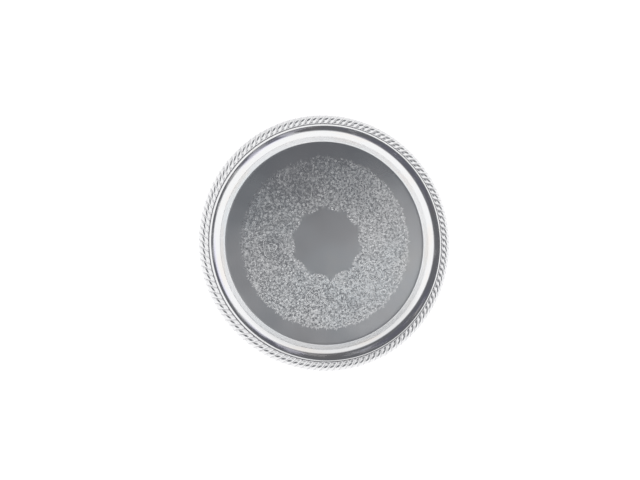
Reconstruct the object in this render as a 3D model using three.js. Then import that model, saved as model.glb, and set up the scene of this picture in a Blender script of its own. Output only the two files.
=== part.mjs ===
// Round silver salver with a flat floor, a curved booge, a level flange and a slanted gadroon border.
// Millimetres, +Z up. The origin is the centre of the flat underside, on the surface the salver stands on.
import * as THREE from "three";

// Driving dimensions of the pan, a single pressed sheet.
const OUTER_RADIUS = 158.75; // a 12.5 inch salver
const SHEET = 1.0; // thickness of the metal
const FLOOR_RADIUS = 127.8; // floor out to the crease where the booge starts
const FLANGE_RADIUS = 145.9; // inner edge of the bead
const WALL_SLOPE = 54; // degrees from level of the straight wall above the crease
const KNEE_SLOPE = 30; // where the tight upper bend passes into the wide one
const FLANGE_SLOPE = 3; // where the sheet reaches the bead
const TIGHT_BEND = 13.2; // radii of the booge's two convex bends
const WIDE_BEND = 21.7;
const TURN_DOWN_RADIUS = 20; // the pan's edge curves down under the border on this radius
const TURN_DOWN_SLOPE = -26; // slope at its cut edge

// Driving dimensions of the border and its wires. Heights in sections are measured from the flange.
const LOBES = 126; // gadroons round the border
const SEGMENTS = 6; // lengths of struck border that are butted to make the ring
const LOBE_TWIST = 1.1; // pitches that a gadroon leans back from its inner to its outer end
const BEAD_WIRE_RADIUS = 0.85;
const EDGE_WIRE_RADIUS = 0.85;
const EDGE_WIRE_INSET = 0.95; // from the outer edge to the wire's centre
const SOLDER_GAP = 0.3; // between pieces that are joined

// Sections of the border as (radius, height over the flange), from the inner edge outwards: a low roof.
const VALLEY = [
  [148.0, 0.5],
  [149.2, 0.7],
  [151.4, 1.3],
  [153.4, 1.85],
  [155.4, 1.3],
  [157.2, 0.5],
  [OUTER_RADIUS, -1.2],
];
const CREST = [
  [148.0, 0.5],
  [148.7, 1.2],
  [151.4, 2.35],
  [153.4, 2.9],
  [155.4, 2.3],
  [157.6, 1.25],
  [OUTER_RADIUS, -1.2],
];
// The hollow underside, from the outer lip back to the inner edge.
const LIP_HEIGHT = -4.6;
const HOLLOW = [
  [OUTER_RADIUS, LIP_HEIGHT],
  [157.3, LIP_HEIGHT],
  [156.9, -1.2],
  [155.4, -0.2],
  [153.4, 0.3],
  [150.5, 0.25],
  [148.0, 0.2],
];
// The solder bed between the hollow and the pan's turned-down edge.
const SOLDER_BED = [
  [151.6, -0.1],
  [153.4, -0.05],
  [155.2, -0.55],
  [156.5, -1.4],
  [156.5, -2.4],
  [155.4, -1.5],
  [153.4, -0.7],
  [151.6, -0.25],
];
const BED_END_GAP = 2; // the bed stops short of the butted ends
const BED_STEPS = 14;

const RING_STEPS = 84; // facets of every full ring
const TIGHT_BEND_STEPS = 2;
const WIDE_BEND_STEPS = 3;
const TURN_STEPS = 4;
const STEPS_PER_LOBE = 3;
const WIRE_SIDES = 6;

// The slope is the sheet's angle from level where it rises outwards.
const degrees = THREE.MathUtils.degToRad;
const sin = (slope) => Math.sin(degrees(slope));
const cos = (slope) => Math.cos(degrees(slope));
const pitch = (2 * Math.PI) / LOBES;
const segmentAngle = (2 * Math.PI) / SEGMENTS;

// Centres of the pan's bends, worked outwards from the crease.
const wallRun =
  FLANGE_RADIUS -
  FLOOR_RADIUS -
  TIGHT_BEND * (sin(WALL_SLOPE) - sin(KNEE_SLOPE)) -
  WIDE_BEND * (sin(KNEE_SLOPE) - sin(FLANGE_SLOPE));
const wallTop = {
  r: FLOOR_RADIUS + wallRun,
  z: SHEET + wallRun * Math.tan(degrees(WALL_SLOPE)),
};
const tightCentre = bendCentre(wallTop, WALL_SLOPE, TIGHT_BEND);
const wideCentre = bendCentre(onBend(tightCentre, TIGHT_BEND, KNEE_SLOPE), KNEE_SLOPE, WIDE_BEND);
const flangeEdge = onBend(wideCentre, WIDE_BEND, FLANGE_SLOPE);
const turnCentre = bendCentre(flangeEdge, FLANGE_SLOPE, TURN_DOWN_RADIUS);
const flangeHeight = flangeEdge.z;

// Centre of a convex bend that passes through a point with a given slope there.
function bendCentre(point, slope, radius) {
  return { r: point.r + radius * sin(slope), z: point.z - radius * cos(slope) };
}

function onBend(centre, radius, slope) {
  return { r: centre.r - radius * sin(slope), z: centre.z + radius * cos(slope) };
}

// Evenly spaced points of a bend, between two slopes, as profile points.
function bendPoints(centre, radius, from, to, steps) {
  return Array.from({ length: steps + 1 }, (_, i) => {
    const { r, z } = onBend(centre, radius, from + ((to - from) * i) / steps);
    return new THREE.Vector2(r, z);
  });
}

// The pan's sheet from the top of the wall to its cut edge, at a depth below the upper face.
function panCurve(depth) {
  const tight = bendPoints(tightCentre, TIGHT_BEND - depth, WALL_SLOPE, KNEE_SLOPE, TIGHT_BEND_STEPS);
  const wide = bendPoints(wideCentre, WIDE_BEND - depth, KNEE_SLOPE, FLANGE_SLOPE, WIDE_BEND_STEPS);
  const turn = bendPoints(turnCentre, TURN_DOWN_RADIUS - depth, FLANGE_SLOPE, TURN_DOWN_SLOPE, TURN_STEPS);
  return [...tight, ...wide.slice(1), ...turn.slice(1)];
}

// Ring, or solid that touches the axis, turned from a closed profile listed with the metal on its left.
function turned(profile) {
  return new THREE.LatheGeometry([...profile, profile[0].clone()], RING_STEPS).rotateX(Math.PI / 2);
}

function panGeometry() {
  const under = panCurve(SHEET);
  const heel = under[0].x - under[0].y / Math.tan(degrees(WALL_SLOPE));
  return turned([
    new THREE.Vector2(0, 0),
    new THREE.Vector2(heel, 0),
    ...under,
    ...panCurve(0).reverse(),
    new THREE.Vector2(FLOOR_RADIUS, SHEET),
    new THREE.Vector2(0, SHEET),
  ]);
}

// Ring of round wire.
function wireRing(radius, height, wireRadius) {
  const profile = Array.from({ length: WIRE_SIDES }, (_, i) => {
    const turn = (2 * Math.PI * i) / WIRE_SIDES;
    return new THREE.Vector2(radius + wireRadius * Math.cos(turn), height + wireRadius * Math.sin(turn));
  });
  return turned(profile);
}

// Closed solid swept round part of the ring: pointAt(step, side) gives the corners of each section,
// listed from the inner edge outwards over the top and back underneath.
function sweptSolid(stepCount, sideCount, pointAt) {
  const positions = [];
  for (let step = 0; step <= stepCount; step += 1) {
    for (let side = 0; side < sideCount; side += 1) positions.push(...pointAt(step, side));
  }
  const at = (step, side) => step * sideCount + (side % sideCount);
  const faces = [];
  for (let step = 0; step < stepCount; step += 1) {
    for (let side = 0; side < sideCount; side += 1) {
      faces.push(at(step, side), at(step + 1, side + 1), at(step + 1, side));
      faces.push(at(step, side), at(step, side + 1), at(step + 1, side + 1));
    }
  }
  for (const end of [0, stepCount]) {
    const outline = Array.from({ length: sideCount }, (_, side) => sectionOutline(pointAt(end, side)));
    for (const [a, b, c] of THREE.ShapeUtils.triangulateShape(outline, [])) {
      const corners = end === 0 ? [a, b, c] : [c, b, a];
      faces.push(...corners.map((side) => at(end, side)));
    }
  }
  return new THREE.BufferGeometry()
    .setAttribute("position", new THREE.Float32BufferAttribute(positions, 3))
    .setIndex(faces);
}

// A point of a section, laid flat as (radius, height).
function sectionOutline([x, y, z]) {
  return new THREE.Vector2(Math.hypot(x, y), z);
}

// The point at a radius and a height over the flange, turned round the axis.
function around(radius, height, angle) {
  return [radius * Math.cos(angle), radius * Math.sin(angle), flangeHeight + height];
}

// How far a gadroon leans back at a radius, as an angle.
function lean(radius) {
  const innerRadius = CREST[0][0];
  return (LOBE_TWIST * pitch * (radius - innerRadius)) / (OUTER_RADIUS - innerRadius);
}

// One struck length of border: slanted gadroons on top, a smooth hollow underneath.
function mountGeometry(segment) {
  const stepCount = (LOBES / SEGMENTS) * STEPS_PER_LOBE;
  const seam = SOLDER_GAP / OUTER_RADIUS;
  return sweptSolid(stepCount, CREST.length + HOLLOW.length, (step, side) => {
    const along = segment * segmentAngle + seam / 2 + ((segmentAngle - seam) * step) / stepCount;
    if (side >= CREST.length) {
      const [radius, height] = HOLLOW[side - CREST.length];
      return around(radius, height, along - lean(radius));
    }
    const dome = Math.sqrt(Math.abs(Math.sin((Math.PI * step) / STEPS_PER_LOBE)));
    const radius = THREE.MathUtils.lerp(VALLEY[side][0], CREST[side][0], dome);
    const height = THREE.MathUtils.lerp(VALLEY[side][1], CREST[side][1], dome);
    return around(radius, height, along - lean(radius));
  });
}

// Solder that beds one length of border on the pan's edge and fills its hollow back.
function bedGeometry(segment) {
  const endGap = BED_END_GAP / SOLDER_BED[0][0];
  const length = segmentAngle - endGap;
  const start = segment * segmentAngle + endGap / 2 - lean(SOLDER_BED[1][0]);
  return sweptSolid(BED_STEPS, SOLDER_BED.length, (step, side) => {
    const [radius, height] = SOLDER_BED[side];
    return around(radius, height, start + (length * step) / BED_STEPS);
  });
}

function silver(roughness) {
  return new THREE.MeshStandardMaterial({ color: 0xdddddb, roughness, metalness: 1 });
}

const polished = silver(0.1);
const struck = silver(0.14);
const drawn = silver(0.08);
const solder = new THREE.MeshStandardMaterial({ color: 0x8d8f93, roughness: 0.5, metalness: 1 });

function piece(name, geometry, material) {
  geometry.computeVertexNormals();
  const mesh = new THREE.Mesh(geometry, material);
  mesh.name = name;
  return mesh;
}

function beadWire() {
  const height = flangeHeight + BEAD_WIRE_RADIUS + SOLDER_GAP;
  return wireRing(FLANGE_RADIUS + BEAD_WIRE_RADIUS, height, BEAD_WIRE_RADIUS);
}

function edgeWire() {
  const height = flangeHeight + LIP_HEIGHT - SOLDER_GAP - EDGE_WIRE_RADIUS;
  return wireRing(OUTER_RADIUS - EDGE_WIRE_INSET, height, EDGE_WIRE_RADIUS);
}

const salver = new THREE.Group();
salver.name = "silver_salver";
salver.add(piece("tray_pan", panGeometry(), polished));
salver.add(piece("inner_bead_wire", beadWire(), drawn));
salver.add(piece("outer_edge_wire", edgeWire(), drawn));
const border = new THREE.Group();
border.name = "gadroon_border";
for (let segment = 0; segment < SEGMENTS; segment += 1) {
  border.add(piece(`border_mount_${segment + 1}`, mountGeometry(segment), struck));
  border.add(piece(`border_solder_fill_${segment + 1}`, bedGeometry(segment), solder));
}
salver.add(border);

export default salver;
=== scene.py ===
import math

import bpy
import numpy as np
from mathutils import Matrix, Vector


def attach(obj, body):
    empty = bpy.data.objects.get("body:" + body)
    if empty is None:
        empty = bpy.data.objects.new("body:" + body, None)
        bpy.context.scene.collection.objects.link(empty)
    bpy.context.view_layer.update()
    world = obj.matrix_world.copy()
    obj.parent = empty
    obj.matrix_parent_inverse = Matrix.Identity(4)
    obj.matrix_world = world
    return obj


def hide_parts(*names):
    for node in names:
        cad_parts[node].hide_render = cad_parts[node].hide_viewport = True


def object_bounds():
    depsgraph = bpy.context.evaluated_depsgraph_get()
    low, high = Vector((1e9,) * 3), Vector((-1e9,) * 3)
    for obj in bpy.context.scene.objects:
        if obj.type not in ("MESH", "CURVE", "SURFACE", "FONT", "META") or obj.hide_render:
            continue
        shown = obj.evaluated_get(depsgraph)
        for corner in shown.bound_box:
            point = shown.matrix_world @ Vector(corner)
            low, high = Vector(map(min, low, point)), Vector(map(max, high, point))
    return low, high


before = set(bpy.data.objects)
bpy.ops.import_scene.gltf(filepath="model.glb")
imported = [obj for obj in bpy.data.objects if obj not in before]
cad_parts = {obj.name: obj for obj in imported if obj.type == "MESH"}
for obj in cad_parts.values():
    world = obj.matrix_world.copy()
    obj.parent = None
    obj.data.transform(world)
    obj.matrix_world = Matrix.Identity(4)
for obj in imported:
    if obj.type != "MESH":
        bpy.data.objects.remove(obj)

# A round silver salver: smooth pan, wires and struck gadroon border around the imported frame, with a chased
# arabesque on the floor of the well. Lengths are millimetres until mm() turns them into the frame's metres,
# unless a comment says otherwise.

cad_low, cad_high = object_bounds()


def mm(value):
    return value * 0.001


# ---------------------------------------------------------------- dimensions, the same as the CAD source has
OUTER_RADIUS = cad_high.x * 1000
SHEET = 1.0
FLOOR_RADIUS = 127.8
FLANGE_RADIUS = 145.9
WALL_SLOPE = 54
KNEE_SLOPE = 30
FLANGE_SLOPE = 3
TIGHT_BEND = 13.2
WIDE_BEND = 21.7
TURN_DOWN_RADIUS = 20
TURN_DOWN_SLOPE = -26
LOBES = 126
SEGMENTS = 6
LOBE_TWIST = 1.1
EDGE_WIRE_RADIUS = 0.85
EDGE_WIRE_INSET = 0.95
LIP_HEIGHT = -4.6
PITCH = 2 * math.pi / LOBES

# Finer than the CAD: the soft bend of the floor before the crease, and the crease's own rounding.
FLOOR_BEND_START = 125.0
FLOOR_BEND = 10.0  # radius of that bend
CREASE_REACH = 0.5  # from the corner to where its rounding starts and ends
FLOOR_RINGS = (0, 20, 45, 75, 105, 120, 123.5)  # radii of the flat floor's rings
FLOOR_BEND_STEPS = 8
CREASE_STEPS = 6
TIGHT_BEND_STEPS = 12
WIDE_BEND_STEPS = 18
TURN_DOWN_STEPS = 14
WIRE_SIDES = 24
EDGE_WIRE_GAP = 0.1  # under the border's lip

# The bead line, drawn to a ridge: radius of the ridge, and how far the section reaches from there.
BEAD_RIDGE = 146.82
BEAD_INNER_REACH = 2.6
BEAD_OUTER_REACH = 0.95
BEAD_RISE = 1.25
BEAD_SINK = 0.3
BEAD_SHARPNESS = 2.6  # 2 would give straight flanks, more hollows them
BEAD_SIDES = 40

RING_STEPS = 504  # facets of every full ring, four to a gadroon
SMOOTH_ANGLE = 40  # degrees between faces, over which an edge stays sharp


# ---------------------------------------------------------------- meshes
def new_object(name, verts, faces, sharp=SMOOTH_ANGLE):
    mesh = bpy.data.meshes.new(name)
    mesh.from_pydata(mm(np.asarray(verts)).tolist(), [], faces)
    mesh.validate()
    mesh.shade_smooth()
    mesh.set_sharp_from_angle(angle=math.radians(sharp))
    obj = bpy.data.objects.new(name, mesh)
    bpy.context.scene.collection.objects.link(obj)
    return obj


def lathe(name, profile):
    """Closed solid of revolution from an anticlockwise (radius, height) profile; radius 0 is a point."""
    verts, rings = [], []
    for radius, height in profile:
        if radius == 0:
            rings.append([len(verts)] * RING_STEPS)
            verts.append((0.0, 0.0, height))
            continue
        rings.append(list(range(len(verts), len(verts) + RING_STEPS)))
        for step in range(RING_STEPS):
            turn = 2 * math.pi * step / RING_STEPS
            verts.append((radius * math.cos(turn), radius * math.sin(turn), height))
    faces = []
    for here, there in zip(rings, rings[1:] + rings[:1]):
        for step in range(RING_STEPS):
            after = (step + 1) % RING_STEPS
            corners = tuple(dict.fromkeys((here[step], here[after], there[after], there[step])))
            if len(corners) > 2:
                faces.append(corners)
    return new_object(name, verts, faces)


def bend_centre(point, slope, radius):
    """Centre of a convex bend through a point, where the sheet rises outwards at that slope in degrees."""
    turn = math.radians(slope)
    return (point[0] + radius * math.sin(turn), point[1] - radius * math.cos(turn))


def on_bend(centre, radius, slope):
    turn = math.radians(slope)
    return (centre[0] - radius * math.sin(turn), centre[1] + radius * math.cos(turn))


def bend_points(centre, radius, slope_from, slope_to, steps):
    return [on_bend(centre, radius, slope) for slope in np.linspace(slope_from, slope_to, steps + 1)]


# ---------------------------------------------------------------- the pan
def booge_bends():
    """Centres of the tight bend, the wide bend and the turned-down edge, worked outwards from the crease."""
    wall, knee, flange = (math.sin(math.radians(s)) for s in (WALL_SLOPE, KNEE_SLOPE, FLANGE_SLOPE))
    run = FLANGE_RADIUS - FLOOR_RADIUS - TIGHT_BEND * (wall - knee) - WIDE_BEND * (knee - flange)
    wall_top = (FLOOR_RADIUS + run, SHEET + run * math.tan(math.radians(WALL_SLOPE)))
    tight = bend_centre(wall_top, WALL_SLOPE, TIGHT_BEND)
    wide = bend_centre(on_bend(tight, TIGHT_BEND, KNEE_SLOPE), KNEE_SLOPE, WIDE_BEND)
    turn = bend_centre(on_bend(wide, WIDE_BEND, FLANGE_SLOPE), FLANGE_SLOPE, TURN_DOWN_RADIUS)
    return tight, wide, turn


TIGHT_CENTRE, WIDE_CENTRE, TURN_CENTRE = booge_bends()
FLANGE_HEIGHT = on_bend(WIDE_CENTRE, WIDE_BEND, FLANGE_SLOPE)[1]


def floor_bend_height(radius):
    return SHEET + max(radius - FLOOR_BEND_START, 0) ** 2 / (2 * FLOOR_BEND)


def crease_radius():
    """Where the soft bend of the floor meets the straight wall, closed in on step by step."""
    tangent = math.tan(math.radians(WALL_SLOPE))
    radius = FLOOR_RADIUS
    for _ in range(20):
        radius = FLOOR_RADIUS + (floor_bend_height(radius) - SHEET) / tangent
    return radius


def rounded_corner(before, corner, after, steps):
    """Points of a curve that leaves one leg of a corner and joins the other."""
    before, corner, after = map(np.array, (before, corner, after))
    ts = np.linspace(0, 1, steps + 1)
    return [tuple((1 - t) ** 2 * before + 2 * t * (1 - t) * corner + t**2 * after) for t in ts]


def pan_profile():
    """The upper face from the centre to the cut edge, and the underside one sheet's thickness below it."""
    crease = crease_radius()
    floor_end, wall_slope = crease - CREASE_REACH, math.radians(WALL_SLOPE)
    wall_start = (
        crease + CREASE_REACH * math.cos(wall_slope),
        floor_bend_height(crease) + CREASE_REACH * math.sin(wall_slope),
    )
    bend_radii = np.linspace(FLOOR_BEND_START, floor_end, FLOOR_BEND_STEPS + 1)[:-1]
    leg_end, corner = ((r, floor_bend_height(r)) for r in (floor_end, crease))
    upper = [(r, SHEET) for r in FLOOR_RINGS]
    upper += [(r, floor_bend_height(r)) for r in bend_radii]
    upper += rounded_corner(leg_end, corner, wall_start, CREASE_STEPS)
    upper += bend_points(TIGHT_CENTRE, TIGHT_BEND, WALL_SLOPE, KNEE_SLOPE, TIGHT_BEND_STEPS)
    upper += bend_points(WIDE_CENTRE, WIDE_BEND, KNEE_SLOPE, FLANGE_SLOPE, WIDE_BEND_STEPS)[1:]
    upper += bend_points(TURN_CENTRE, TURN_DOWN_RADIUS, FLANGE_SLOPE, TURN_DOWN_SLOPE, TURN_DOWN_STEPS)[1:]
    line = np.array(upper)
    run = np.gradient(line, axis=0)
    run /= np.linalg.norm(run, axis=1, keepdims=True)
    run[: len(FLOOR_RINGS)] = (1, 0)
    under = line + SHEET * np.column_stack((run[:, 1], -run[:, 0]))
    return [tuple(p) for p in under] + [tuple(p) for p in line[::-1]]


def wire_ring(name, radius, height, wire_radius):
    turns = np.linspace(0, 2 * math.pi, WIRE_SIDES, endpoint=False)
    profile = [(radius + wire_radius * math.cos(t), height + wire_radius * math.sin(t)) for t in turns]
    return lathe(name, profile)


def bead_line(name):
    """The wire inside the border, drawn to a ridge, with the fillet of solder along its inner foot."""
    profile = []
    for turn in np.linspace(0, 2 * math.pi, BEAD_SIDES, endpoint=False):
        across, up = math.cos(turn), math.sin(turn)
        reach = BEAD_OUTER_REACH if across > 0 else -BEAD_INNER_REACH
        rise = BEAD_RISE if up > 0 else -BEAD_SINK
        radius = BEAD_RIDGE + reach * abs(across) ** BEAD_SHARPNESS
        profile.append((radius, FLANGE_HEIGHT + rise * abs(up) ** BEAD_SHARPNESS))
    return lathe(name, profile)


# ---------------------------------------------------------------- the gadroon border
# Sections as (radius, height over the flange), from the inner edge outwards, finer than the CAD's on top.
VALLEY = (
    (147.8, 0.45),
    (148.7, 0.6),
    (150.4, 0.95),
    (152.1, 1.62),
    (153.4, 1.85),
    (154.7, 1.62),
    (156.2, 0.95),
    (157.4, 0.4),
    (158.2, -0.4),
    (OUTER_RADIUS, -1.3),
)
CREST = (
    (147.8, 0.45),
    (148.4, 1.05),
    (150.3, 1.85),
    (152.0, 2.7),
    (153.4, 2.93),
    (154.8, 2.7),
    (156.2, 1.95),
    (157.5, 1.3),
    (158.3, 0.4),
    (OUTER_RADIUS, -1.3),
)
# The underside, from the outer lip back to the inner edge.
HOLLOW = (
    (OUTER_RADIUS, LIP_HEIGHT),
    (157.3, LIP_HEIGHT),
    (156.9, -1.2),
    (155.4, -0.2),
    (153.4, 0.3),
    (150.5, 0.15),
    (147.8, 0.05),
)
STEPS_PER_LOBE = 16
TOP_STEPS = 36  # across the border, on its upper face
SEAM = 0.05  # gap between butted lengths
BORDER_SMOOTH_ANGLE = 50
HOLLOW_SHADE_STAND = 0.2  # what the underside has for the height that the material reads: low, so that the underside takes the darker colour as painted shade
LOBE_END = 0.22  # share of a gadroon's length that its rounded end takes
LOBE_FLATNESS = 2.0  # over 1 flattens the ridge, under 1 would sharpen it
LOBE_FULLNESS = 0.75  # power that swells its sides


def smooth_section(points, count):
    """Evenly spread points of a smooth curve (Catmull-Rom) through the given ones."""
    points = np.array(points)
    padded = np.vstack((2 * points[0] - points[1], points, 2 * points[-1] - points[-2]))
    out = []
    for share in np.linspace(0, len(points) - 1, count + 1):
        i = min(int(share), len(points) - 2)
        t = share - i
        a, b, c, d = padded[i : i + 4]
        squared, cubed = 2 * a - 5 * b + 4 * c - d, 3 * b - a - 3 * c + d
        out.append(0.5 * (2 * b + (c - a) * t + squared * t**2 + cubed * t**3))
    return np.array(out)


def gadroon_height(across, along):
    """How far a gadroon stands over the border's valleys, 0 to 1: a leaning bead with rounded ends."""
    from_end = np.minimum(along, 1 - along) / LOBE_END
    width = np.sqrt(np.clip(1 - np.clip(1 - from_end, 0, 1) ** 2, 1e-4, 1))
    side = np.abs(2 * across - 1) / width
    return np.clip(1 - side**LOBE_FLATNESS, 0, None) ** LOBE_FULLNESS


def lean(radius):
    """How far a gadroon leans back at a radius, as an angle."""
    inner = VALLEY[0][0]
    return LOBE_TWIST * PITCH * (radius - inner) / (OUTER_RADIUS - inner)


def border_length(name, segment):
    """One struck length; its attribute "stand" says how high each point is over the border's valleys, and on
    the underside it holds a low value that the material turns into painted shade.
    """
    lobes = LOBES // SEGMENTS
    columns = lobes * STEPS_PER_LOBE
    seam = SEAM / OUTER_RADIUS
    valley, crest = smooth_section(VALLEY, TOP_STEPS), smooth_section(CREST, TOP_STEPS)
    hollow = np.array(HOLLOW)
    along = np.linspace(0, 1, TOP_STEPS + 1)
    verts, stands = [], []
    for column in range(columns + 1):
        angle = segment * lobes * PITCH + seam / 2 + (lobes * PITCH - seam) * column / columns
        stand = gadroon_height((column % STEPS_PER_LOBE) / STEPS_PER_LOBE, along)
        top = valley + (crest - valley) * stand[:, None]
        radius, height = np.vstack((top, hollow)).T
        turn = angle - lean(radius)
        verts.append(np.column_stack((radius * np.cos(turn), radius * np.sin(turn), height + FLANGE_HEIGHT)))
        stands.append(np.concatenate((stand, np.full(len(hollow), HOLLOW_SHADE_STAND))))
    sides = len(verts[0])
    faces = []
    for column in range(columns):
        for side in range(sides):
            a, b = column * sides + side, column * sides + (side + 1) % sides
            faces.append((a, b, b + sides, a + sides))
    faces.append(tuple(range(sides))[::-1])
    faces.append(tuple(range(columns * sides, (columns + 1) * sides)))
    obj = new_object(name, np.vstack(verts), faces, BORDER_SMOOTH_ANGLE)
    layer = obj.data.attributes.new("stand", "FLOAT", "POINT")
    layer.data.foreach_set("value", np.concatenate(stands))
    return obj


# ---------------------------------------------------------------- the chased arabesque
# Drawn in one of ten mirrored sectors, from the axis of a cartouche (angle 0) to the axis of a medallion (36
# degrees), and laid on the floor as low ribs with a ridge along their middle. A motif is a list of such ribs.
SECTORS = 5
CARTOUCHE_AXIS = math.radians(42.15)
HALF_SECTOR = math.pi / SECTORS
RIB_HEIGHT = 0.14
WORN_HEIGHT = 0.3  # share of that height that is left where the ribs are worn most
BLOW_HEIGHT = (0.45, 1.25)  # least and greatest share of the height from one blow to the next
WEAR_LEAN = 0.6  # the wear runs mostly along +Y, and this much as fast along -X
RIB_SINK = 0.02
RIB_SMOOTH_ANGLE = 10
ORNAMENT_INNER = 43.4
ORNAMENT_WAVE = 3.3  # depth of the scallops of the inner edge
ORNAMENT_OUTER = 105.5
ORNAMENT_MARGIN = 1.6  # from the inner edge to the first motifs
MEDALLION = (85.5, 17.6)  # radius of the place, radius of the motif
MEDALLION_LEAVES = 32
MEDALLION_RINGS = ((11.6, 12, 2.5), (6.4, 8, 1.9))  # radius, volutes in the ring, size of a volute
CARTOUCHE = (69.5, 14.5)
CARTOUCHE_RINGS = ((2.6, 0.28, 0.13), (4.6, 0.2, 0.14), (9.6, 0.24, 0.16))  # inset, half width, rounding
CARTOUCHE_LEAVES = 24
CARTOUCHE_INNER_LEAVES = 15
OUTER_FANS = 11
INNER_FANS = 7
FAN_SIZES = 1.9  # by how much every other fan of an edge is larger
SCROLL_PLACE, SCROLL_ANGLE, SCROLL_SIZE = 97.0, math.radians(10.3), 6.6
LARGEST_VOLUTE = 2.9
SMALLEST_MOTIF = 0.6
SMALLEST_VOLUTE = 2.0  # a smaller motif is a fan, and one smaller than a fan is a leaf
SMALLEST_FAN = 1.3
SMALLEST_ON_AXIS = 1.6
MOTIFS_ON_AXIS = 5
GRID = 0.5  # spacing of the places tried for a motif
AXIS_OVERLAP = 0.15  # how far a motif may reach over the axes
VOLUTE_TURNS = 1.25
VOLUTE_HALF_WIDTH = (0.13, 0.24)  # least and greatest
LEAF_HALF_WIDTH = 0.28  # greatest
LEAF_TAPER = (0.35, 0.9, 1.0, 0.75, 0.12)  # half width along a leaf, from its root
ARCH_TAPER = (0.3, 0.7, 0.9, 1, 1, 1, 0.9, 0.7, 0.3)


def polar(radius, angle):
    return np.array((radius * math.cos(angle), radius * math.sin(angle)))


def stroke(path, half_widths):
    """One closed rib along a path, with a ridge: (vertices, faces)."""
    path = np.asarray(path, float)
    run = np.gradient(path, axis=0)
    run /= np.linalg.norm(run, axis=1, keepdims=True) + 1e-9
    half = np.asarray(half_widths, float)[:, None]
    aside = np.column_stack((-run[:, 1], run[:, 0])) * half
    count = len(path)
    verts = np.zeros((count, 3, 3))
    verts[:, 0, :2], verts[:, 1, :2], verts[:, 2, :2] = path + aside, path, path - aside
    verts[:, :, 2] = SHEET - RIB_SINK
    verts[:, 1, 2] = SHEET + RIB_HEIGHT * np.sqrt(half[:, 0] / half.max())
    faces = [(0, 2, 1)]
    for i in range(count - 1):
        a, b = 3 * i, 3 * i + 3
        faces += [(a, a + 1, b + 1, b), (a + 1, a + 2, b + 2, b + 1), (a + 2, a, b, b + 2)]
    last = 3 * count - 3
    faces.append((last, last + 1, last + 2))
    return verts.reshape(-1, 3), faces


def leaf(root, direction, length, width, curl):
    """A comma-shaped leaf from its root, turning by curl along its length."""
    shares = np.linspace(0, 1, len(LEAF_TAPER))
    turns = direction + curl * shares**1.3
    steps = length / (len(LEAF_TAPER) - 1) * np.column_stack((np.cos(turns), np.sin(turns)))
    path = np.asarray(root) + np.vstack(((0, 0), np.cumsum(steps[:-1], axis=0)))
    return stroke(path, width * np.array(LEAF_TAPER))


def leaf_width(size):
    """Half width of the leaves of a motif of some size."""
    return min(size * 0.06 + 0.1, LEAF_HALF_WIDTH)


def volute(centre, size, start, hand):
    """A spiral stem that winds into its centre, leaves on its outer side and, if it is large, inside too."""
    count = 14 if size < 2.5 else 20
    shares = np.linspace(0, 1, count)
    turns = start + hand * 2 * math.pi * VOLUTE_TURNS * shares
    reach = size * (0.72 - 0.58 * shares**0.85)
    path = np.asarray(centre) + reach[:, None] * np.column_stack((np.cos(turns), np.sin(turns)))
    root_taper = np.minimum(1, 0.3 + 5 * shares)
    half = np.clip(size * 0.07 * (1 - 0.4 * shares), *VOLUTE_HALF_WIDTH) * root_taper
    parts = [stroke(path, half)]
    leaves = 3 if size < 2 else 5 if size < 3 else 8
    for k in range(leaves):
        share = 0.02 + 0.6 * k / leaves
        i = min(int(share * (count - 1)), count - 2)
        parts.append(leaf(path[i], turns[i] - hand * 0.2, size * 0.34, leaf_width(size), hand * 1.5))
    if size > 3.4:
        for i in (3, 6, 9, 12):
            parts.append(leaf(path[i], turns[i] + math.pi - hand * 0.6, size * 0.22, 0.22, hand * 1.0))
    return parts


def fan(root, direction, size, leaves, spread=1.15):
    """A palmette: leaves that fan out symmetrically from one point."""
    parts = []
    for k in range(leaves):
        side = 2 * k / (leaves - 1) - 1
        length = size * (0.8 - 0.3 * abs(side))
        start = np.asarray(root) + 0.22 * size * polar(1, direction + side * spread)
        parts.append(leaf(start, direction + side * spread, length, leaf_width(size), side * 0.7))
    return parts


def arch(centre, size, direction, width):
    """A C-shaped stroke that opens towards the direction."""
    turns = direction + math.pi + np.linspace(-1.9, 1.9, len(ARCH_TAPER))
    path = np.asarray(centre) + size * np.column_stack((np.cos(turns), np.sin(turns)))
    return stroke(path, width * np.array(ARCH_TAPER))


def ring(centre, size, width, count):
    turns = np.linspace(0, 2 * math.pi, count + 1)
    path = np.asarray(centre) + size * np.column_stack((np.cos(turns), np.sin(turns)))
    return stroke(path, np.full(count + 1, width))


def inner_edge(angle):
    return ORNAMENT_INNER - ORNAMENT_WAVE * np.cos(2 * SECTORS * angle)


def room_left(room, xs, ys, circle):
    """The radius that still fits at each place, beside one more circle."""
    x, y, size = circle[:3]
    return np.minimum(room, np.hypot(xs - x, ys - y) - size)


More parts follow.
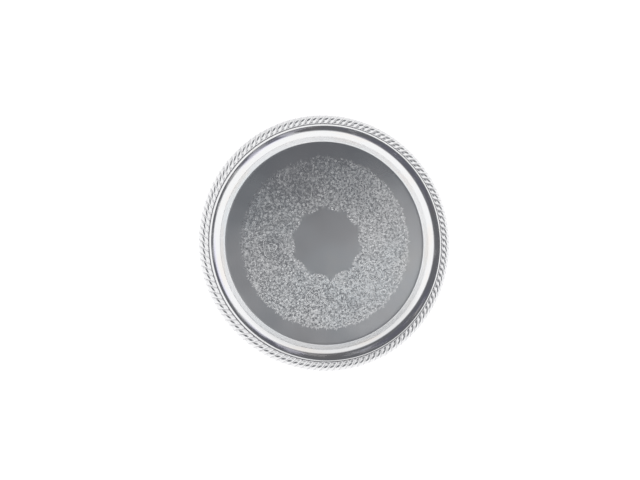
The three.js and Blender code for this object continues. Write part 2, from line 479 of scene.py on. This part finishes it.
def packed_circles():
    """Fills the sector with the largest free circles, one after the other: (x, y, size, on an axis) rows."""
    xs, ys = np.meshgrid(np.arange(30, 108, GRID), np.arange(0, 66, GRID))
    radius, angle = np.hypot(xs, ys), np.arctan2(ys, xs)
    free = np.minimum(ORNAMENT_OUTER - radius, radius - inner_edge(angle) - ORNAMENT_MARGIN)
    free[angle > HALF_SECTOR] = -1
    reserved = [
        (*polar(MEDALLION[0], HALF_SECTOR), MEDALLION[1]),
        (CARTOUCHE[0], 0.0, CARTOUCHE[1]),
        (*polar(SCROLL_PLACE, SCROLL_ANGLE), SCROLL_SIZE),
    ]
    circles = []
    line = np.arange(42, 104, GRID)
    for axis in (0.0, HALF_SECTOR):
        px, py = line * math.cos(axis), line * math.sin(axis)
        for _ in range(MOTIFS_ON_AXIS):
            room = np.minimum(ORNAMENT_OUTER - line, line - inner_edge(axis) - ORNAMENT_MARGIN)
            for circle in reserved + circles:
                room = room_left(room, px, py, circle)
            best = int(np.argmax(room))
            if room[best] < SMALLEST_ON_AXIS:
                break
            circles.append((px[best], py[best], float(min(room[best], LARGEST_VOLUTE)), True))
    for circle in reserved + circles:
        free = room_left(free, xs, ys, circle)
    to_axis = np.minimum(ys, radius * np.sin(np.maximum(HALF_SECTOR - angle, 0)))
    free = np.minimum(free, to_axis + AXIS_OVERLAP)
    while True:
        best = np.unravel_index(int(np.argmax(free)), free.shape)
        size = float(min(free[best], LARGEST_VOLUTE))
        if size < SMALLEST_MOTIF:
            return circles
        circles.append((xs[best], ys[best], size, False))
        free = room_left(free, xs, ys, circles[-1])


def medallion():
    """A garland round two rings of volutes and a quatrefoil, drawn on its own axis, at angle 0."""
    place, size = MEDALLION
    centre = np.array((place, 0.0))
    parts = []
    for k in range(MEDALLION_LEAVES):
        turn = 2 * math.pi * (k + 0.5) / MEDALLION_LEAVES
        side = 1 if turn < math.pi else -1
        root = centre + (size - 2.0 - 0.7 * (k % 3)) * polar(1, turn)
        parts.append(leaf(root, turn + side * 0.5, 2.4 + 0.9 * (k % 2), 0.26, side * 1.2))
        parts.append(leaf(root, turn + side * 1.5, 2.2, 0.2, side * 0.5))
        parts.append(leaf(root, turn + math.pi + side * 0.7, 2.0, 0.22, -side * 0.8))
    for ring_radius, count, volute_size in MEDALLION_RINGS:
        for k in range(count):
            turn = 2 * math.pi * (k + 0.5) / count
            hand = 1 if turn < math.pi else -1
            spot = centre + ring_radius * polar(1, turn)
            parts += volute(spot, volute_size, turn + math.pi * (k % 2), hand)
            between = centre + (ring_radius - 1.2) * polar(1, turn + math.pi / count)
            parts += fan(between, turn + math.pi / count, volute_size, 3, 0.7)
    for k in range(4):
        turn = math.pi / 4 + k * math.pi / 2
        parts.append(arch(centre + 1.9 * polar(1, turn), 1.3, turn + math.pi, 0.24))
    return parts


def triangle_ring(place, size, width, rounding):
    """A closed rounded triangle that points to the centre of the salver."""
    turns = np.linspace(0, 2 * math.pi, 46)
    reach = size * (1 - rounding * np.cos(3 * turns))
    path = np.column_stack((place + reach * np.cos(turns), reach * np.sin(turns)))
    return stroke(path, np.full(len(turns), width))


def cartouche():
    """Three rounded triangles with leaves along them, round a palmette, drawn on its own axis."""
    place, size = CARTOUCHE
    parts = [triangle_ring(place, size - inset, *shape) for inset, *shape in CARTOUCHE_RINGS]

    def on_triangle(turn, inset, rounding):
        reach = (size - inset) * (1 - rounding * math.cos(3 * turn))
        return (place + reach * math.cos(turn), reach * math.sin(turn))

    for k in range(CARTOUCHE_LEAVES):
        turn = 2 * math.pi * (k + 0.5) / CARTOUCHE_LEAVES
        side = 1 if turn < math.pi else -1
        parts.append(leaf(on_triangle(turn, 2.2, 0.13), turn - side * 0.3, 2.6, 0.45, side * 0.8))
    for k in range(CARTOUCHE_INNER_LEAVES):
        turn = 2 * math.pi * (k + 0.5) / CARTOUCHE_INNER_LEAVES
        parts.append(leaf(on_triangle(turn, 5.4, 0.14), turn + math.pi, 2.9, 0.4, 0.0))
    parts += fan((place - 2.0, 0.0), 0.0, 4.6, 5)
    parts.append(leaf((place - 2.2, 0.0), math.pi, 1.8, 0.45, 0.0))
    return parts


def filling(circles):
    """A motif in each circle off the axes. It grows away from its nearest neighbour, wound the other way."""
    parts = []
    placed = [
        (*polar(SCROLL_PLACE, SCROLL_ANGLE), SCROLL_SIZE, 1),
        (*polar(MEDALLION[0], HALF_SECTOR), MEDALLION[1], 1),
        (CARTOUCHE[0], 0.0, CARTOUCHE[1], -1),
    ]
    for x, y, size, on_axis in circles:
        if on_axis:
            continue
        gaps = [math.hypot(x - p[0], y - p[1]) - p[2] for p in placed]
        near_x, near_y, _, near_hand = placed[int(np.argmin(gaps))]
        towards = math.atan2(near_y - y, near_x - x)
        spot = np.array((x, y))
        root = spot + 0.8 * size * polar(1, towards)
        placed.append((x, y, size, -near_hand))
        if size > SMALLEST_VOLUTE:
            parts += volute(spot, size, towards, -near_hand)
        elif size > SMALLEST_FAN:
            parts += fan(root, towards + math.pi, size * 1.9, 5, 0.9)
        else:
            parts.append(leaf(root, towards + math.pi, size * 1.8, size * 0.4, 0.6))
    return parts


def mirrored_motifs(circles):
    """Everything between the axes; it is drawn again as its mirror image."""
    scroll = polar(SCROLL_PLACE, SCROLL_ANGLE)
    parts = volute(scroll, SCROLL_SIZE, SCROLL_ANGLE + 1.2, 1)
    parts.append(ring(scroll, SCROLL_SIZE - 0.3, 0.2, 20))
    parts += filling(circles)
    for k in range(OUTER_FANS):
        angle = HALF_SECTOR * (k + 0.5) / OUTER_FANS
        radius = ORNAMENT_OUTER + 0.9 * math.cos(4 * SECTORS * angle)
        parts += fan(polar(radius, angle), angle, 3.4 + FAN_SIZES * (k % 2), 5)
        parts.append(leaf(polar(radius, angle + HALF_SECTOR / OUTER_FANS / 2), angle + 0.9, 2.6, 0.3, -1.2))
    for k in range(INNER_FANS):
        angle = HALF_SECTOR * (k + 0.5) / INNER_FANS
        parts += fan(polar(inner_edge(angle) + 2.4, angle), angle + math.pi, 2.4 + FAN_SIZES * (k % 2), 5)
    return parts


def axis_motifs(circles):
    """What stands on the two axes: each motif as (axis, parts) in the frame of its axis."""
    out = [(0.0, cartouche()), (HALF_SECTOR, medallion())]
    for x, y, size, on_axis in circles:
        if on_axis:
            place = math.hypot(x, y)
            direction, root = (0.0, place - size * 0.8) if place > 75 else (math.pi, place + size * 0.8)
            out.append((math.atan2(y, x), fan((root, 0.0), direction, size * 1.7, 7)))
    return out


def add_parts(store, parts, turn, mirror):
    """Lays parts on the floor; the ribs are lower where the salver is worn, and uneven from blow to blow."""
    cos, sin = math.cos(turn), math.sin(turn)
    for verts, faces in parts:
        x, y = verts[:, 0], verts[:, 1] * (-1 if mirror else 1)
        base = store["count"]
        across, along = x * cos - y * sin, x * sin + y * cos
        unworn = np.clip(0.5 + (WEAR_LEAN * across - along) / (2 * ORNAMENT_OUTER), 0, 1)
        left = WORN_HEIGHT + (1 - WORN_HEIGHT) * unworn
        left = left * store["random"].uniform(*BLOW_HEIGHT)
        store["verts"].append(np.column_stack((across, along, SHEET + (verts[:, 2] - SHEET) * left)))
        store["count"] += len(verts)
        for face in faces:
            store["faces"].append(tuple(base + i for i in (face[::-1] if mirror else face)))


def arabesque():
    store = {"verts": [], "faces": [], "count": 0, "random": np.random.default_rng(11)}
    circles = packed_circles()
    between, on_axes = mirrored_motifs(circles), axis_motifs(circles)
    for sector in range(SECTORS):
        turn = CARTOUCHE_AXIS + 2 * HALF_SECTOR * sector
        add_parts(store, between, turn, False)
        add_parts(store, between, turn, True)
        for axis, parts in on_axes:
            add_parts(store, parts, turn + axis, False)
    return new_object("chased_arabesque", np.vstack(store["verts"]), store["faces"], RIB_SMOOTH_ANGLE)


# ---------------------------------------------------------------- materials
SILVER = (0.92, 0.922, 0.93)
FLANGE_ROUGHNESS = 0.11
FLOOR_HAZE = 0.36
HAZE_ALONG_X = (0.035, 0.025)  # change of roughness to the edge of the floor: straight, and curved
HAZE_ALONG_Y = (-0.1, -0.105)
HAZE_CLOUDS = 0.12
TURNING_SHARE = 0.15  # how much slower a texture changes round the salver than across it
MOTTLE_SCALE = 420.0
WORN_GROUND = 0.5  # share of the matting that is left where the ornament is worn most
MOTTLE = (-0.09, 0.27)  # what the matted ground of the ornament adds to the roughness, from spot to spot
CORNER_ROUGHNESS = 0.27  # just above the crease, where the buff doesn't reach
STREAK_ROUGHNESS = 0.42  # where polishing round the flange has left it dull
MATTING_DEPTH = 0.00006  # metres, as all bump distances
BRUSHED = (FLANGE_RADIUS - 8, FLANGE_RADIUS - 5)  # radii between which the brushed look of the flange sets in
TARNISHED = (0.85, 0.885, 0.91)
STAINED = (0.89, 0.885, 0.87)
BROWN = (0.93, 0.86, 0.8)
VIOLET = (0.84, 0.83, 0.96)
# darker colour of the border's valleys, partly grime and partly painted shade, and painted shade on its
# underside
GRIMY_AND_SHADED = (0.74, 0.73, 0.75)
WORN_WIRE = (0.82, 0.8, 0.76)
DULL_RIB = (0.78, 0.79, 0.79)
SOLDER_DARK, SOLDER, SOLDER_LIGHT = (0.36, 0.37, 0.39), (0.5, 0.51, 0.53), (0.6, 0.61, 0.63)


class Nodes:
    """Small helpers for a tree of shader nodes. A number or a colour is set on the socket that it goes to."""

    def __init__(self, tree, coordinates):
        self.tree = tree
        self.place = tree.nodes.new("ShaderNodeTexCoord").outputs[coordinates]

    def link(self, source, socket):
        if isinstance(source, (int, float)):
            socket.default_value = source
        elif isinstance(source, tuple):
            socket.default_value = (*source, 1)
        else:
            self.tree.links.new(source, socket)

    def maths(self, operation, first, second=0.0):
        node = self.tree.nodes.new("ShaderNodeMath")
        node.operation = operation
        self.link(first, node.inputs[0])
        self.link(second, node.inputs[1])
        return node.outputs[0]

    def axes(self):
        split = self.tree.nodes.new("ShaderNodeSeparateXYZ")
        self.link(self.place, split.inputs[0])
        return split.outputs

    def ramp(self, value, low, high, to_low, to_high):
        node = self.tree.nodes.new("ShaderNodeMapRange")
        node.interpolation_type = "SMOOTHSTEP"
        for name, number in (("From Min", low), ("From Max", high)):
            node.inputs[name].default_value = number
        self.link(to_low, node.inputs["To Min"])
        self.link(to_high, node.inputs["To Max"])
        self.link(value, node.inputs["Value"])
        return node.outputs["Result"]

    def blend(self, share, first, second):
        node = self.tree.nodes.new("ShaderNodeMix")
        node.data_type = "RGBA"
        self.link(share, node.inputs["Factor"])
        self.link(first, node.inputs["A"])
        self.link(second, node.inputs["B"])
        return node.outputs["Result"]


class Shader(Nodes):
    """A material's nodes, round its Principled BSDF. The plain values hold until look() replaces them."""

    def __init__(self, name, colour, roughness, metallic=1.0):
        self.material = bpy.data.materials.new(name)
        self.material.use_nodes = True
        super().__init__(self.material.node_tree, "Object")
        self.bsdf = self.tree.nodes["Principled BSDF"]
        self.look("Base Color", colour)
        self.look("Metallic", metallic)
        self.look("Roughness", roughness)

    def look(self, name, source):
        self.link(source, self.bsdf.inputs[name])

    def noise(self, scale, detail, place=None):
        node = self.tree.nodes.new("ShaderNodeTexNoise")
        node.inputs["Scale"].default_value = scale
        node.inputs["Detail"].default_value = detail
        self.link(self.place if place is None else place, node.inputs["Vector"])
        return node.outputs["Fac"]

    def bump(self, height, distance):
        node = self.tree.nodes.new("ShaderNodeBump")
        node.inputs["Distance"].default_value = distance
        node.inputs["Strength"].default_value = 1.0
        self.link(height, node.inputs["Height"])
        self.look("Normal", node.outputs["Normal"])

    def radius(self):
        axes = self.axes()
        squares = [self.maths("POWER", self.maths("ABSOLUTE", axes[name]), 2.0) for name in ("X", "Y")]
        return self.maths("SQRT", self.maths("ADD", *squares))

    def turned_place(self):
        """Coordinates that stretch a texture round the salver, so that it follows its turning."""
        axes = self.axes()
        join = self.tree.nodes.new("ShaderNodeCombineXYZ")
        self.link(self.maths("MULTIPLY", axes["X"], TURNING_SHARE), join.inputs[0])
        self.link(self.maths("MULTIPLY", axes["Y"], TURNING_SHARE), join.inputs[1])
        self.link(self.radius(), join.inputs[2])
        return join.outputs[0]


def floor_haze(shader):
    """Roughness of the floor, which handling has dulled more on one side: a quadratic with some clouds."""
    axes = shader.axes()
    total = FLOOR_HAZE
    for axis, slope, curve in (("X", *HAZE_ALONG_X), ("Y", *HAZE_ALONG_Y)):
        share = shader.maths("DIVIDE", axes[axis], mm(FLOOR_RADIUS))
        squared = shader.maths("MULTIPLY", share, share)
        total = shader.maths("ADD", total, shader.maths("MULTIPLY", share, slope))
        total = shader.maths("ADD", total, shader.maths("MULTIPLY", squared, curve))
    clouds = shader.maths("SUBTRACT", shader.noise(24.0, 5.0), 0.5)
    return shader.maths("ADD", total, shader.maths("MULTIPLY", clouds, HAZE_CLOUDS))


def chased_ground(shader, radius):
    """How much of the ornament's matted ground is left, 0 to 1: none outside it, less where it is worn."""
    ring_in = shader.ramp(radius, mm(39), mm(49), 0.0, 1.0)
    ring_out = shader.ramp(radius, mm(104), mm(108), 1.0, 0.0)
    axes = shader.axes()
    across = shader.maths("SUBTRACT", shader.maths("MULTIPLY", axes["X"], WEAR_LEAN), axes["Y"])
    unworn = shader.ramp(across, mm(-ORNAMENT_OUTER), mm(ORNAMENT_OUTER), WORN_GROUND, 1.0)
    return shader.maths("MULTIPLY", shader.maths("MULTIPLY", ring_in, ring_out), unworn)


def pan_roughness(shader, radius, turned, chased):
    """From the hazy floor over the dull corner and the bright booge to the streaks of the flange."""
    mottle = shader.ramp(shader.noise(MOTTLE_SCALE, 2.5), 0.38, 0.66, *MOTTLE)
    floor = shader.maths("ADD", floor_haze(shader), shader.maths("MULTIPLY", chased, mottle))
    streaks = shader.ramp(shader.noise(170.0, 3.0, turned), 0.42, 0.72, FLANGE_ROUGHNESS, STREAK_ROUGHNESS)
    flange = shader.ramp(radius, *map(mm, BRUSHED), FLANGE_ROUGHNESS, streaks)
    wall = shader.ramp(radius, mm(131), mm(135), CORNER_ROUGHNESS, flange)
    return shader.ramp(radius, mm(125.5), mm(128.5), floor, wall)


def pan_colour(shader, radius, turned):
    """Silver: tarnish on the floor, stains all over, brown streaks from the crease up, violet on the flange."""
    on_floor = shader.ramp(radius, mm(127), mm(130), 1.0, 0.0)
    tarnish = shader.maths("MULTIPLY", on_floor, shader.ramp(shader.noise(9.0, 3.0), 0.35, 0.7, 0.0, 1.0))
    stain = shader.ramp(shader.noise(13.0, 5.0), 0.56, 0.75, 0.0, 0.6)
    raised = shader.ramp(radius, mm(128), mm(131), 0.0, 0.45)
    brown_streaks = shader.ramp(shader.noise(110.0, 3.0, turned), 0.5, 0.68, 0.0, 1.0)
    brown = shader.maths("MULTIPLY", raised, brown_streaks)
    brushed = shader.ramp(radius, *map(mm, BRUSHED), 0.0, 1.0)
    violet_streaks = shader.ramp(shader.noise(90.0, 2.0, turned), 0.35, 0.5, 0.8, 0.0)
    violet = shader.maths("MULTIPLY", brushed, violet_streaks)
    colour = SILVER
    for share, tint in ((tarnish, TARNISHED), (stain, STAINED), (brown, BROWN), (violet, VIOLET)):
        colour = shader.blend(share, colour, tint)
    return colour


def pan_silver():
    shader = Shader("pan_silver", SILVER, FLANGE_ROUGHNESS)
    radius, turned = shader.radius(), shader.turned_place()
    chased = chased_ground(shader, radius)
    shader.look("Roughness", pan_roughness(shader, radius, turned, chased))
    shader.look("Base Color", pan_colour(shader, radius, turned))
    matting = shader.maths("MULTIPLY", chased, shader.noise(1500.0, 2.0))
    scratches = shader.maths("MULTIPLY", shader.noise(2600.0, 2.0, turned), 0.1)
    shader.bump(shader.maths("ADD", matting, scratches), MATTING_DEPTH)
    return shader.material


def chased_silver():
    shader = Shader("chased_silver", SILVER, 0.34)
    wear = shader.noise(160.0, 3.0)
    shader.look("Roughness", shader.ramp(wear, 0.3, 0.7, 0.12, 0.3))
    shader.look("Base Color", shader.blend(wear, DULL_RIB, SILVER))
    return shader.material


def struck_silver():
    """The border's silver, with grime that dulls its valleys, and painted shade that darkens them and the
    underside.
    """
    shader = Shader("border_silver", SILVER, 0.14)
    stand = shader.tree.nodes.new("ShaderNodeAttribute")
    stand.attribute_name = "stand"
    specks = shader.maths("MULTIPLY", shader.noise(420.0, 3.0), 0.25)
    clean_and_lit = shader.maths("ADD", stand.outputs["Fac"], specks)
    shader.look("Roughness", shader.ramp(clean_and_lit, 0.15, 0.75, 0.44, 0.27))
    # the darker colour is grime and painted shade in the valleys, and painted shade on the underside
    shader.look("Base Color", shader.blend(shader.ramp(clean_and_lit, 0.12, 0.8, 0.0, 1.0), GRIMY_AND_SHADED, SILVER))
    shader.bump(shader.noise(900.0, 2.0), 0.00001)
    return shader.material


def wire_silver():
    shader = Shader("wire_silver", SILVER, 0.1)
    wear = shader.noise(150.0, 3.0)
    shader.look("Roughness", shader.ramp(wear, 0.35, 0.75, 0.08, 0.2))
    shader.look("Base Color", shader.blend(shader.ramp(wear, 0.5, 0.8, 0.0, 0.5), SILVER, WORN_WIRE))
    return shader.material


def soft_solder():
    shader = Shader("soft_solder", SOLDER, 0.5)
    lumps = shader.noise(260.0, 4.0)
    shader.look("Roughness", shader.ramp(lumps, 0.3, 0.7, 0.38, 0.62))
    shader.look("Base Color", shader.blend(lumps, SOLDER_DARK, SOLDER_LIGHT))
    shader.bump(lumps, 0.0003)
    return shader.material


def fit(obj, material, slot_name, *nodes):
    """Gives a piece its metal, and lets it stand for the CAD nodes. slot_name is not used."""
    obj.data.materials.clear()
    obj.data.materials.append(material)
    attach(obj, "root")
    if nodes:
        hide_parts(*nodes)


wire_metal, border_metal, solder_metal = wire_silver(), struck_silver(), soft_solder()
fit(lathe("salver_pan", pan_profile()), pan_silver(), "polished_silver", "tray_pan")
fit(arabesque(), chased_silver(), "polished_silver")
fit(bead_line("bead_line_wire"), wire_metal, "drawn_silver_wire", "inner_bead_wire")
edge_height = FLANGE_HEIGHT + LIP_HEIGHT - EDGE_WIRE_RADIUS - EDGE_WIRE_GAP
fit(
    wire_ring("rim_edge_wire", OUTER_RADIUS - EDGE_WIRE_INSET, edge_height, EDGE_WIRE_RADIUS),
    wire_metal,
    "drawn_silver_wire",
    "outer_edge_wire",
)
for segment in range(SEGMENTS):
    length = border_length(f"gadroon_length_{segment + 1}", segment)
    fit(length, border_metal, "struck_silver", f"border_mount_{segment + 1}")
    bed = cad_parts[f"border_solder_fill_{segment + 1}"]
    bed.data.materials.clear()
    bed.data.materials.append(solder_metal)

# ---------------------------------------------------------------- studio
CAMERA_DISTANCE = 868.0
CAMERA_AZIMUTH = math.radians(196.5)
CAMERA_TILT = math.radians(13.28)  # from straight above
AIM_LEFT, AIM_ABOVE = 8.74, 2.75  # where the camera points, from the centre of the salver
LENS = 38.9
SENSOR = 36.0
CAMERA_RANGE = (0.01, 50.0)  # metres
PATCH_CENTRE = (3.0, 10.0)  # degrees from straight up, towards +X and +Y
PATCH_HALF = (29.0, 38.0)  # half its width along X and along Y, in degrees
PATCH_SQUARENESS = 2.6
PATCH_EDGE = (0.7, 1.35)  # where the patch starts to fade, and where it ends
PATCH_LIGHT = 0.133
PATCH_TINT = (0.95, 0.97, 1.06)
SKY_LIGHT = 1.0
DIM_SIDE_LIGHT = 0.86  # share of the light that comes from the +Y side of the room
DIM_SIDE_SPREAD = (0.45, 0.8)  # how far towards +Y the light starts to fall, and where it has fallen
FLOOR_HALF = 6.0  # metres
FLOOR_DROP = 0.00005  # metres, so that the floor doesn't touch the salver
FLOOR_GLOW = 0.75
FLOOR_COLOUR = 0.5
WHITE = (1.0, 1.0, 1.0)


def studio_floor():
    half = FLOOR_HALF
    corners = [(-half, -half, 0), (half, -half, 0), (half, half, 0), (-half, half, 0)]
    mesh = bpy.data.meshes.new("studio_floor")
    mesh.from_pydata(corners, [], [(0, 1, 2, 3)])
    floor = bpy.data.objects.new("studio_floor", mesh)
    floor.location.z = -FLOOR_DROP
    bpy.context.scene.collection.objects.link(floor)
    shader = Shader("studio_floor", (FLOOR_COLOUR,) * 3, 0.9, 0.0)
    shader.look("Specular IOR Level", 0.0)
    shader.look("Emission Color", WHITE)
    shader.look("Emission Strength", FLOOR_GLOW)
    mesh.materials.append(shader.material)


def right_and_up(forward):
    """The other two axes of a camera that looks forward, with +Y upwards in the picture."""
    right = forward.cross(Vector((0, 1, 0))).normalized()
    return right, right.cross(forward)


def camera():
    """It stands nearly overhead and points a little past the middle of the salver's floor."""
    centre = Vector((0, 0, mm(SHEET)))
    level = math.sin(CAMERA_TILT)
    away = Vector((math.cos(CAMERA_AZIMUTH) * level, math.sin(CAMERA_AZIMUTH) * level, math.cos(CAMERA_TILT)))
    right, up = right_and_up(-away)
    place = away * mm(CAMERA_DISTANCE) + centre
    aim = centre - right * mm(AIM_LEFT) + up * mm(AIM_ABOVE)
    forward = (aim - place).normalized()
    right, up = right_and_up(forward)
    data = bpy.data.cameras.new("camera")
    data.sensor_width = SENSOR
    data.lens = LENS
    data.clip_start, data.clip_end = CAMERA_RANGE
    obj = bpy.data.objects.new("camera", data)
    obj.matrix_world = Matrix.Translation(place) @ Matrix((right, up, -forward)).transposed().to_4x4()
    bpy.context.scene.collection.objects.link(obj)
    bpy.context.scene.camera = obj


def sky():
    """A white studio with one soft dark patch overhead, drawn on the sky laid flat round the zenith."""
    world = bpy.data.worlds.new("studio")
    world.use_nodes = True
    bpy.context.scene.world = world
    nodes = Nodes(world.node_tree, "Generated")
    axes = nodes.axes()
    depth = nodes.maths("ADD", axes["Z"], 1.001)  # a little over 1 keeps the floor's side from dividing by 0
    spread = []
    for axis, centre, half in zip(("X", "Y"), PATCH_CENTRE, PATCH_HALF):
        flat = nodes.maths("DIVIDE", axes[axis], depth)
        shifted = nodes.maths("SUBTRACT", flat, math.tan(math.radians(centre) / 2))
        scaled = nodes.maths("DIVIDE", shifted, math.tan(math.radians(half) / 2))
        spread.append(nodes.maths("POWER", nodes.maths("ABSOLUTE", scaled), PATCH_SQUARENESS))
    patch = nodes.ramp(nodes.maths("ADD", *spread), *PATCH_EDGE, PATCH_LIGHT, SKY_LIGHT)
    dim_side = nodes.ramp(axes["Y"], *DIM_SIDE_SPREAD, 1.0, DIM_SIDE_LIGHT)
    background = world.node_tree.nodes["Background"]
    nodes.link(nodes.maths("MULTIPLY", patch, dim_side), background.inputs["Strength"])
    nodes.link(nodes.blend(patch, PATCH_TINT, WHITE), background.inputs["Color"])


studio_floor()
camera()
sky()
bpy.context.scene.view_settings.view_transform = "Standard"
